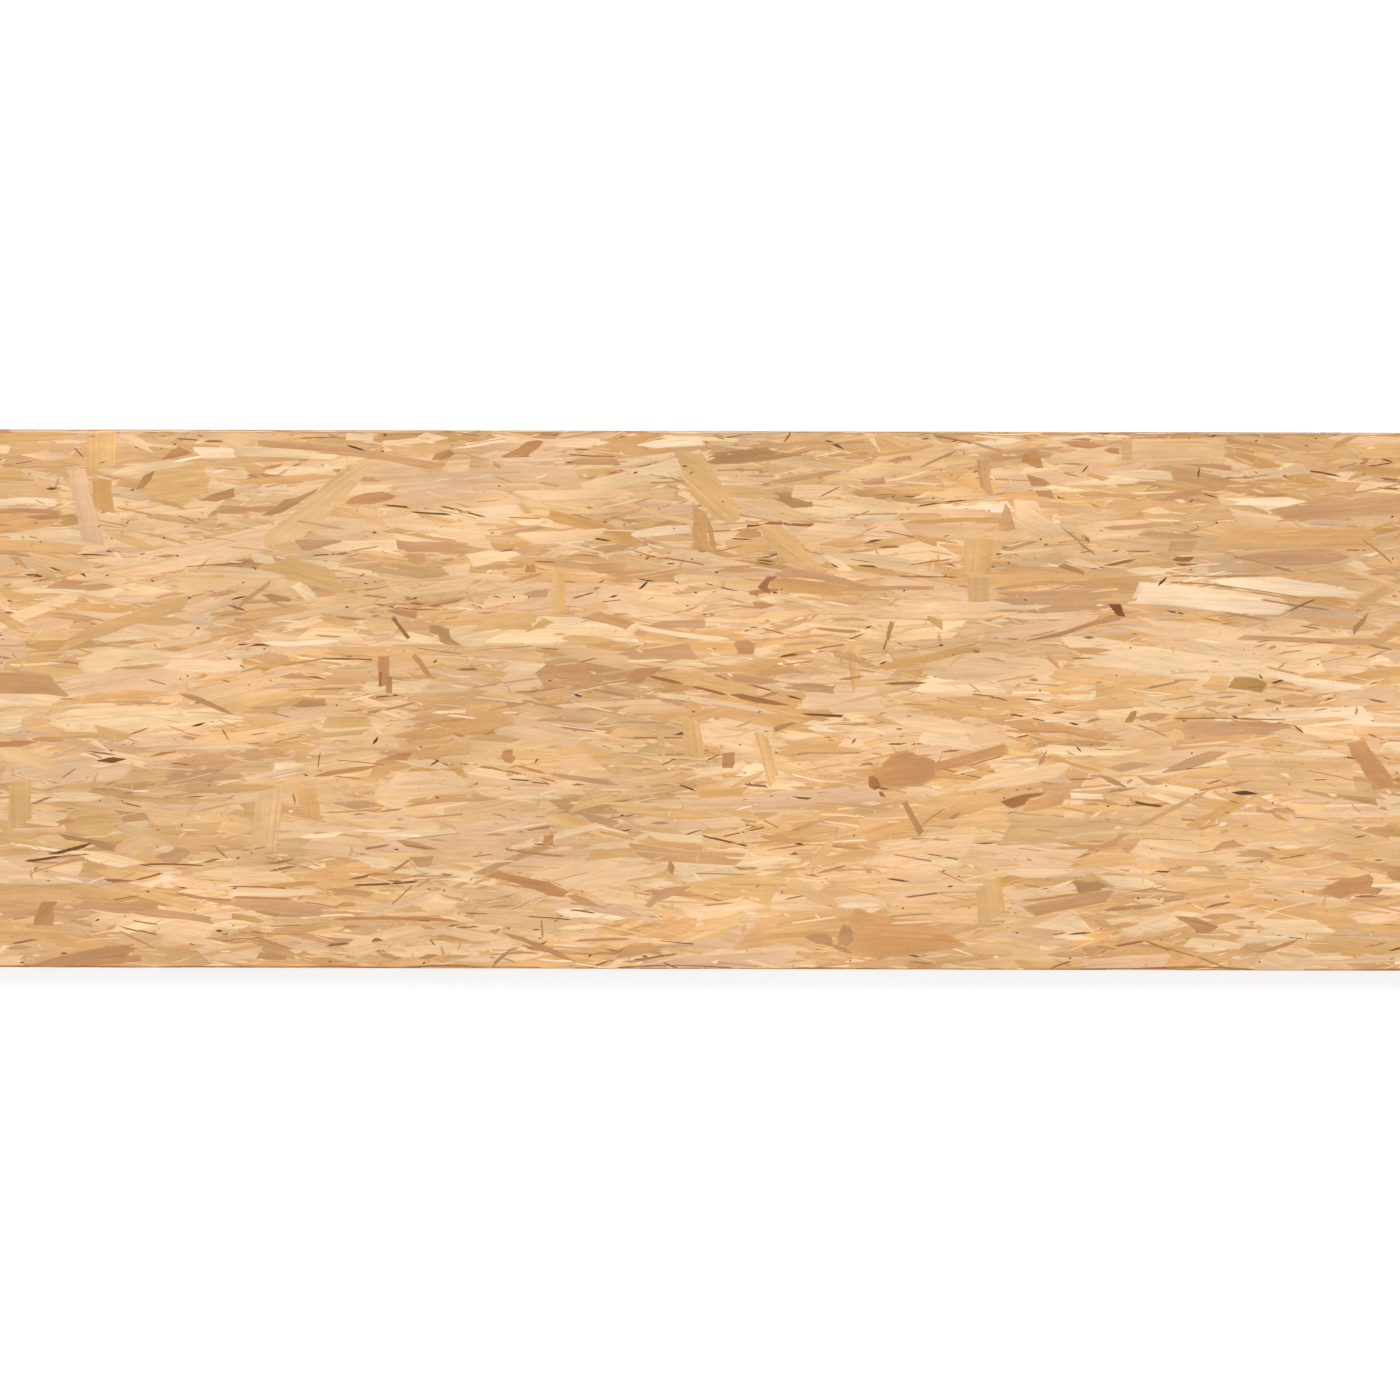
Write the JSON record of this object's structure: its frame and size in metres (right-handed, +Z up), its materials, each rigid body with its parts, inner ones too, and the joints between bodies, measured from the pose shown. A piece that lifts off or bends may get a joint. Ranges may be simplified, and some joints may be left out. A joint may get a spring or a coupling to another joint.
{
  "type": "osb panel",
  "caption": "Flat oriented strand board panel with long wood strands pressed on both faces, sawn edges with strand-end voids and lightly eased corners.",
  "frame": {"origin": "middle of the bottom face", "axes": "+X along the panel, +Y across it, +Z up through its thickness"},
  "size_m": [1.22, 0.32, 0.018],
  "materials": {
    "strand_board": "pressed strands with a thin resin film, satin"
  },
  "bodies": {
    "root": {"osb_panel": "strand_board"}
  },
  "joints": []
}
